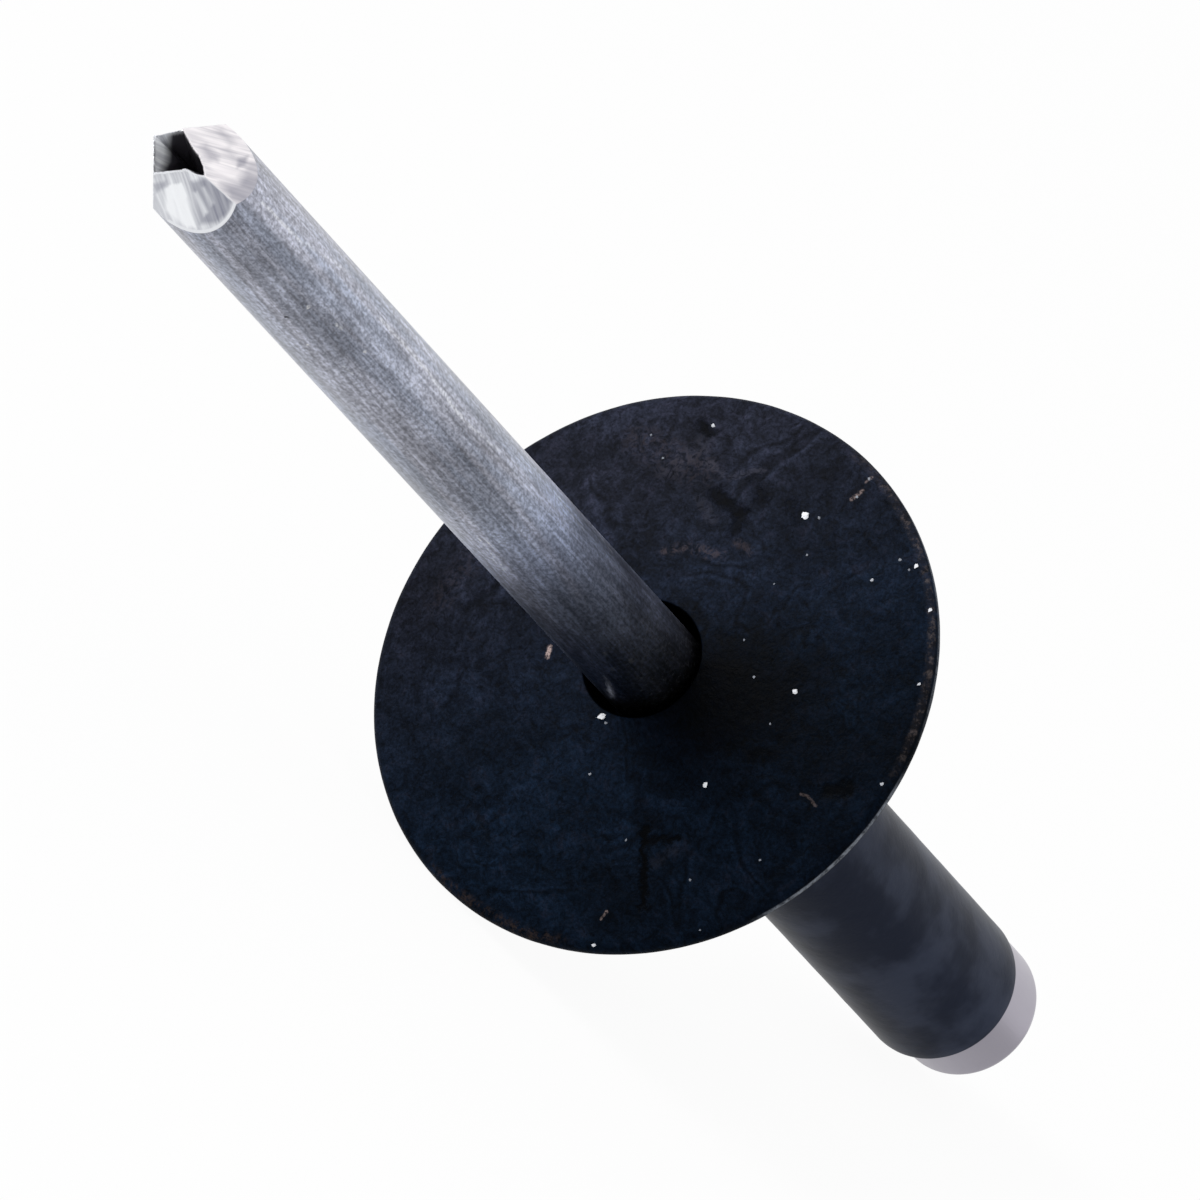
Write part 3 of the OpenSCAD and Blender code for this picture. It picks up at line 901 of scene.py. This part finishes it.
NICK_TURN = 73                  # degrees round the axis of the nick in the right face's edge
NICK_REACH = 7
NICK_DEPTH = 0.07               # share of the radius
print("pit", np.ptp(PIT_OUTLINE, axis=0).round(2), "mm wide, cuts at", [turn for turn, _ in CUTS], "degrees")

# %% Lighter and darker spots of the cut faces, as pixels of the photograph
# Each has its outline and its soft edge in pixels, and its lightness from 0 to 1.
CUT_SPOTS = (
    ("left face, burnished part", [(165, 188), (181, 184), (189, 203), (197, 228), (184, 227), (166, 210)],
     5, 1.02),
    # Painted highlight: the brightest patch, set above the burnished part around it.
    ("left face, brightest patch", [(168, 186), (181, 184), (186, 196), (180, 203), (171, 197)], 4, 1.1),
    ("left face, torn grey part", [(191, 182), (206, 178), (231, 196), (230, 212), (216, 223), (200, 224),
                                   (196, 206)], 5, 0.3),
    ("left face, first light streak", [(193, 193), (197, 192), (208, 212), (204, 216)], 4, 0.75),
    ("left face, second light streak", [(202, 188), (205, 187), (214, 203), (211, 206)], 4, 0.62),
    ("left face, grey top corner", [(152, 184), (166, 181), (167, 186), (156, 193)], 4, 0.4),
    ("left face, dark right corner", [(224, 186), (234, 194), (231, 204), (224, 198)], 4, 0.25),
    ("right face, grey streak", [(199, 146), (206, 144), (219, 156), (218, 162), (209, 160)], 6, 0.5),
    ("right face, second grey streak", [(214, 128), (222, 128), (236, 144), (230, 146)], 6, 0.6),
    ("right face, third grey streak", [(222, 150), (228, 148), (242, 160), (238, 165)], 6, 0.62),
    ("right face, burnished streak", [(206, 164), (214, 163), (243, 178), (238, 184), (214, 172)], 5, 1.0),
    ("right face, dull lower end", [(222, 184), (238, 182), (250, 164), (268, 166), (262, 190), (242, 208),
                                    (228, 200)], 12, 0.38),
    ("right face, burnished patch by the notch", [(248, 164), (257, 162), (263, 170), (255, 178), (247, 174)],
     6, 0.5),
    ("right face, mark by the notch", [(238, 158), (248, 156), (246, 166), (237, 168)], 4, 0.35))
LEFT_TONE, RIGHT_TONE = 0.68, 0.84      # lightness of the two front faces away from the spots
# Painted highlight along the left face's outer edge.
EDGE_HIGHLIGHT_TONE = 0.86                # light band along the left face's outer edge
BAND_WIDTH = 0.13               # mm
PIT_TONE = 0.8                  # torn metal in the pit, where light reaches it
PIT_LIT_WALL = [(150, 133), (169, 131), (168, 160), (158, 178), (148, 165)]


# %% Distances and noise for the end
def cut_heights(x, y):
    """Height of each cut plane over (x, y), one row for each cut, above the start of the cuts."""
    rows = []
    for turn, slope in CUTS:
        t = math.radians(turn)
        rows.append((STEM_R - x * math.cos(t) - y * math.sin(t)) * math.tan(math.radians(slope)))
    return np.array(rows)


def depth_inside(x, y, outline):
    """Distance from (x, y) to the outline, positive inside it."""
    nearest = np.full(x.shape, 1e9)
    inside = np.zeros(x.shape, bool)
    for (ax, ay), (bx, by) in zip(outline, np.roll(outline, -1, axis=0)):
        ex, ey = bx - ax, by - ay
        along = np.clip(((x - ax) * ex + (y - ay) * ey) / (ex * ex + ey * ey), 0, 1)
        nearest = np.minimum(nearest, np.hypot(x - ax - along * ex, y - ay - along * ey))
        crosses = (ay > y) != (by > y)
        inside ^= crosses & (x < ax + (y - ay) * ex / (ey if ey else 1e-9))
    return np.where(inside, nearest, -nearest)


def ragged(x, y, size, seed):
    """Smooth noise from -1 to 1, with lumps of about size mm."""
    return np.array([noise.noise(Vector((a / size, b / size, seed))) for a, b in zip(x, y)])


# %% The end's surface
def jaw_marks(x, y, which):
    """Three sizes of marks down the slope of each cut face: lines, hairlines and waves, from -1 to 1."""
    turns = np.radians([turn for turn, _ in CUTS])[which]
    across = -x * np.sin(turns) + y * np.cos(turns)
    down = x * np.cos(turns) + y * np.sin(turns)
    return (ragged(across, down * 0.12 + which * 7.0, 0.11, 2.0),
            ragged(across, down * 0.1 + which * 3.0, 0.045, 3.0),
            ragged(across, down * 0.4 + which * 5.0, 0.45, 4.0))


def end_surface(x, y):
    """For each point of the end: height, cut face, streaks, burr and distance inside the pit's outline."""
    planes = cut_heights(x, y)
    which = planes.argmin(axis=0)
    lowest, second = np.sort(planes, axis=0)[:2]
    lines, hairlines, waves = jaw_marks(x, y, which)
    streaks = lines * 0.26 + hairlines * 0.2 + waves * 0.12
    calm = np.clip((STEM_R - np.hypot(x, y)) / CALM_EDGE, 0, 1)
    height = lowest + (lines * MARK_DEPTH + waves * WAVE_DEPTH) * calm

    from_ridge = (second - lowest) / 2.2
    ridge = np.clip(1 - from_ridge / (RIDGE_WIDTH + 0.02 * ragged(x, y, 0.15, 12.0)), 0, 1)
    ridge = ridge * (which <= RIGHT_FRONT) * (x > 0.2)
    inside = depth_inside(x + ragged(x, y, 0.3, 8.0) * 0.03, y + ragged(x, y, 0.3, 9.0) * 0.03,
                          PIT_OUTLINE)
    lip = np.clip(1 - np.abs(inside + 0.03) / LIP_WIDTH, 0, 1)
    height = height + np.maximum(ridge, lip * 0.7) * BURR_HEIGHT * calm

    floor = PIT_FLOOR + ragged(x, y, 0.2, 6.0) * 0.2
    torn = np.maximum(height - np.clip(inside, 0, None) * PIT_WALL, floor)
    return np.where(inside > 0, torn, height), which, streaks, np.maximum(ridge, lip), inside


def end_lightness(x, y, pixels, which, streaks, burr, inside):
    """How light each point of the end is, from 0 to 1."""
    tone = np.where(which == LEFT_FRONT, LEFT_TONE, RIGHT_TONE) + streaks
    for name, outline, softness, value in CUT_SPOTS:
        face = LEFT_FRONT if name.startswith("left") else RIGHT_FRONT
        depth = depth_inside(*pixels.T, np.array(outline, float))
        share = np.clip(depth / softness + 0.5, 0, 1) * (which == face)
        tone = tone * (1 - share) + (value + streaks * 0.5) * share
    from_wall = STEM_R - np.hypot(x, y)
    outer_band = np.clip(1 - from_wall / BAND_WIDTH, 0, 1) * (which == LEFT_FRONT) * (x > 0.4)
    tone = np.maximum(tone, np.clip(outer_band * 1.6, 0, 1) * EDGE_HIGHLIGHT_TONE)
    # Painted highlight: the burrs along the ridge and round the pit are painted light.
    tone = np.clip(np.maximum(tone, burr), 0, 1)
    return np.where(inside > 0.03, PIT_TONE + streaks * 1.4, tone)


# %% Shape the end, the nick and the head
def pinch(mesh):
    """Shapes the blank's end and stores how fresh, light, warm and torn each point is, and as pit how much of
    it lies in the pit's painted shade.
    """
    points = np.zeros(len(mesh.vertices) * 3)
    mesh.vertices.foreach_get("co", points)
    points = points.reshape(-1, 3)
    x, y, z = points.T
    end = z > BLANK_TOP - 1e-4
    wall = (z > CUT_START + 1e-4) & ~end
    stored = {name: np.zeros(len(z)) for name in ("fresh", "light", "pit", "warm", "torn")}

    height, which, streaks, burr, inside = end_surface(x[end], y[end])
    z[end] = STEM_REACH + height
    pixels = photo_pixels(points[end])
    stored["fresh"][end] = 1.0
    stored["warm"][end] = which == RIGHT_FRONT
    stored["light"][end] = end_lightness(x[end], y[end], pixels, which, streaks, burr, inside)
    stored["torn"][end] = np.clip(inside / LIP_WIDTH, 0, 1)
    # Painted shade: the torn pit is painted dark except on its lit wall, stored as pit.
    lit = np.clip(depth_inside(*pixels.T, np.array(PIT_LIT_WALL, float)) / 9 + 0.45, 0, 1)
    stored["pit"][end] = stored["torn"][end] * (1 - lit)

    edge = STEM_REACH + cut_heights(x[wall], y[wall]).min(axis=0)
    z[wall] = CUT_START + (z[wall] - CUT_START) * (edge - CUT_START) / (BLANK_TOP - CUT_START)

    turn = np.degrees(np.arctan2(y, x))
    nick = np.clip(1 - np.abs(turn - NICK_TURN) / NICK_REACH, 0, 1)
    nick = nick * (np.hypot(x, y) > STEM_R - 0.16) * (z > STEM_REACH + 0.5)
    points[:, :2] *= (1 - NICK_DEPTH * nick)[:, None]

    head = (z < -SLEEVE_LEN + 1e-4) & (np.hypot(x, y) > STEM_R + HEAD_CONE + 1e-3)
    points[head | (z < -SLEEVE_LEN - 1e-3), 1] += HEAD_SHIFT

    mesh.vertices.foreach_set("co", points.ravel())
    for name, values in stored.items():
        mesh.attributes.new(name, "FLOAT", "POINT").data.foreach_set("value", values)
    print(f"pinched end rises {z.max() - STEM_REACH:.2f} mm above the full round stem")


pinch(mandrel_mesh)
place_piece(mandrel_mesh, "mandrel", sharp=32)

# %% [markdown]
# ## Crumbs on the coating
# Rivets come loose in a bag, where specks of paint and metal dust rub off and stick to the matt face.
# Each one is a tiny lump of its own with its own size and turn. That is a rule again: Geometry Nodes puts
# one rough little ball on each point of a point mesh, scaled by the size that the point carries and
# turned by a fixed seed. The points are where the photograph shows the specks.

# %% Specks, as pixels of the photograph with a width in mm
SPECKS = (
    (805, 516, 0.2), (819, 518, 0.08), (651, 435, 0.06), (663, 458, 0.07), (713, 426, 0.12),
    (869, 479, 0.08), (916, 566, 0.14), (930, 610, 0.13), (872, 580, 0.1), (795, 692, 0.14),
    (754, 677, 0.08), (705, 785, 0.16), (602, 716, 0.23), (606, 723, 0.08), (919, 684, 0.11),
    (882, 784, 0.1), (590, 774, 0.08), (594, 945, 0.12), (626, 840, 0.07), (770, 724, 0.07),
    (807, 555, 0.07), (774, 584, 0.06), (857, 497, 0.08), (900, 560, 0.08), (909, 570, 0.07),
    (744, 640, 0.06), (690, 880, 0.07), (700, 930, 0.06), (760, 860, 0.07), (548, 560, 0.06))
print(len(SPECKS), "specks")


# %% Specks on points, as a geometry tree
def make_speck_tree():
    tree = bpy.data.node_groups.new("specks_on_points", "GeometryNodeTree")
    for name, kind in (("Points", "NodeSocketGeometry"), ("Flatness", "NodeSocketFloat"),
                       ("Seed", "NodeSocketInt"), ("Finish", "NodeSocketMaterial")):
        tree.interface.new_socket(name, in_out="INPUT", socket_type=kind)
    tree.interface.new_socket("Specks", in_out="OUTPUT", socket_type="NodeSocketGeometry")
    given = add(tree, "NodeGroupInput").outputs

    ball = add(tree, "GeometryNodeMeshIcoSphere", {"Radius": 0.5, "Subdivisions": 3}).outputs["Mesh"]
    where = add(tree, "GeometryNodeInputPosition").outputs[0]
    lumps = add(tree, "ShaderNodeTexNoise", {"Vector": where, "Scale": 2.2, "Detail": 2.0}).outputs["Fac"]
    out = add(tree, "ShaderNodeMath", {0: lumps, 1: 0.5}, operation="SUBTRACT").outputs[0]
    push = toned(tree, add(tree, "GeometryNodeInputNormal").outputs[0], out)
    rough = add(tree, "GeometryNodeSetPosition", {"Geometry": ball, "Offset": push}).outputs[0]

    named = add(tree, "GeometryNodeInputNamedAttribute", {"Name": "size"}, data_type="FLOAT")
    size = named.outputs["Attribute"]
    turn = add(tree, "FunctionNodeRandomValue", {"Seed": given["Seed"]}, data_type="FLOAT_VECTOR")
    turn.inputs["Max"].default_value = (0.4, 0.4, 2 * math.pi)
    height = add(tree, "ShaderNodeMath", {0: size, 1: given["Flatness"]}, operation="MULTIPLY").outputs[0]
    scale = add(tree, "ShaderNodeCombineXYZ", {0: size, 1: size, 2: height}).outputs[0]
    placed = add(tree, "GeometryNodeInstanceOnPoints", {
        "Points": given["Points"], "Instance": rough, "Scale": scale, "Rotation": turn.outputs["Value"]})
    real = add(tree, "GeometryNodeRealizeInstances", {0: placed.outputs[0]})
    smooth = add(tree, "GeometryNodeSetShadeSmooth", {0: real.outputs[0]})
    finished = add(tree, "GeometryNodeSetMaterial", {0: smooth.outputs[0], "Material": given["Finish"]})
    add(tree, "NodeGroupOutput", {0: finished.outputs[0]})
    return tree


# %% Make the specks
def make_dust():
    """Dry crumbs of primer and metal dust: the wider a crumb, the paler it looks against the coating."""
    material, tree, shader, _ = new_material("primer_dust")
    width = add(tree, "ShaderNodeAttribute", attribute_name="size").outputs["Fac"]
    paleness = graded(tree, (width, 0.06, 0.17))
    tree.links.new(coated(tree, linear("#747983"), paleness, linear("#f0f2f6")), shader.inputs["Base Color"])
    shader.inputs["Roughness"].default_value = 0.8
    return material


def make_specks():
    base = bpy.data.meshes.new("speck_points")
    base.from_pydata([tuple(on_rivet((across, down), "face")) for across, down, _ in SPECKS], [], [])
    widths = base.attributes.new("size", "FLOAT", "POINT")
    widths.data.foreach_set("value", [width for _, _, width in SPECKS])
    return run_tree("dust_specks", base, make_speck_tree(), {
        "Flatness": 0.4, "Seed": 5, "Finish": make_dust()})


place_piece(make_specks())

# %% [markdown]
# ## Floor, light and surroundings
# The rivet lies on a plain pale floor. Small bare metal shows what is round it, so the surroundings
# matter as much as the lamp: a white room gives the grey of the wire, and one wide soft lamp on the side
# of the pinched end makes its cut faces shine. The floor shows itself pale to the camera and in
# reflections, and keeps the rivet's shadow. On the viewer's side it is a bit darker in reflections only,
# as if someone stood there, and that gives the stem its darker middle between two light edges.

# %% Floor
FLOOR_HALF = 3.0                # metres from the middle of the floor to its edge
FLOOR_GLOW = 0.94               # share of the floor's light that doesn't depend on the lamp
NEAR_FLOOR = 0.69               # how light the floor on the viewer's side is in reflections
NEAR_DEPTHS = (-0.010, 0.009)   # places in metres between which it turns pale, away from the viewer
NEAR_WIDTHS = (-0.034, -0.02)   # places in metres between which it starts, from the left


def seen_directly(tree, path):
    """1 for light that is seen by the camera, or mirrored or let through on its way there."""
    mirrored = add(tree, "ShaderNodeMath", {0: path["Is Glossy Ray"], 1: path["Is Transmission Ray"]},
                   operation="MAXIMUM").outputs[0]
    return add(tree, "ShaderNodeMath", {0: path["Is Camera Ray"], 1: mirrored},
               operation="MAXIMUM").outputs[0]


def make_floor():
    mesh = bpy.data.meshes.new("floor")
    corners = [(-FLOOR_HALF, -FLOOR_HALF, 0), (FLOOR_HALF, -FLOOR_HALF, 0), (FLOOR_HALF, FLOOR_HALF, 0),
               (-FLOOR_HALF, FLOOR_HALF, 0)]
    mesh.from_pydata(corners, [], [(0, 1, 2, 3)])
    floor = bpy.data.objects.new("floor", mesh)
    bpy.context.scene.collection.objects.link(floor)
    material = bpy.data.materials.new("pale_floor")
    material.use_nodes = True
    tree = material.node_tree
    tree.nodes.clear()
    paint = add(tree, "ShaderNodeBsdfDiffuse", {"Color": linear("#f2f2f2")})
    path = add(tree, "ShaderNodeLightPath").outputs
    place = add(tree, "ShaderNodeTexCoord").outputs["Object"]
    across, depth, _ = add(tree, "ShaderNodeSeparateXYZ", {0: place}).outputs
    near_side_share = graded(tree, (depth, *NEAR_DEPTHS, 1.0, 0.0), (across, *NEAR_WIDTHS))
    near_shade = graded(tree, (near_side_share, 0.0, 1.0, 1.0, NEAR_FLOOR))
    strength = coated(tree, near_shade, path["Is Camera Ray"], 1.0)
    glow = add(tree, "ShaderNodeEmission", {"Color": linear("#ffffff"), "Strength": strength})
    share = graded(tree, seen_directly(tree, path), FLOOR_GLOW)
    both = add(tree, "ShaderNodeMixShader", {0: share, 1: paint.outputs[0], 2: glow.outputs[0]})
    add(tree, "ShaderNodeOutputMaterial", {"Surface": both.outputs[0]})
    mesh.materials.append(material)
    print("floor of", 2 * FLOOR_HALF, "m")


make_floor()


# %% World
ROOM_LIGHT = 0.7                # strength of the room's light on the rivet; where it is seen it is 1


def make_world():
    world = bpy.data.worlds.new("pale_room")
    world.use_nodes = True
    tree = world.node_tree
    tree.nodes.clear()
    path = add(tree, "ShaderNodeLightPath").outputs
    strength = coated(tree, ROOM_LIGHT, seen_directly(tree, path), 1.0)
    light = add(tree, "ShaderNodeBackground", {"Color": linear("#ffffff"), "Strength": strength})
    add(tree, "ShaderNodeOutputWorld", {"Surface": light.outputs[0]})
    bpy.context.scene.world = world


make_world()


# %% Lamp
LAMP_DISTANCE = 0.6             # metres from the rim's middle
LAMP_SIZE = 0.35                # metres along each side
LAMP_POWER = 2.4                # watts


def make_lamp(name, direction):
    """A square soft lamp that shines on the rivet from that direction."""
    data = bpy.data.lights.new(name, "AREA")
    data.size = LAMP_SIZE
    data.energy = LAMP_POWER
    light = bpy.data.objects.new(name, data)
    back = direction.normalized()
    turn = back.to_track_quat("Z", "Y").to_matrix().to_4x4()
    light.matrix_world = Matrix.Translation(rim_centre + back * LAMP_DISTANCE) @ turn
    bpy.context.scene.collection.objects.link(light)
    print(f"{name}: {LAMP_POWER} W, {light.matrix_world.translation.z:.2f} m above the floor")


make_lamp("main_lamp", picture_up * 0.9 + to_camera * 0.35 + top_side * 0.25)
bpy.context.scene.view_settings.view_transform = "Standard"
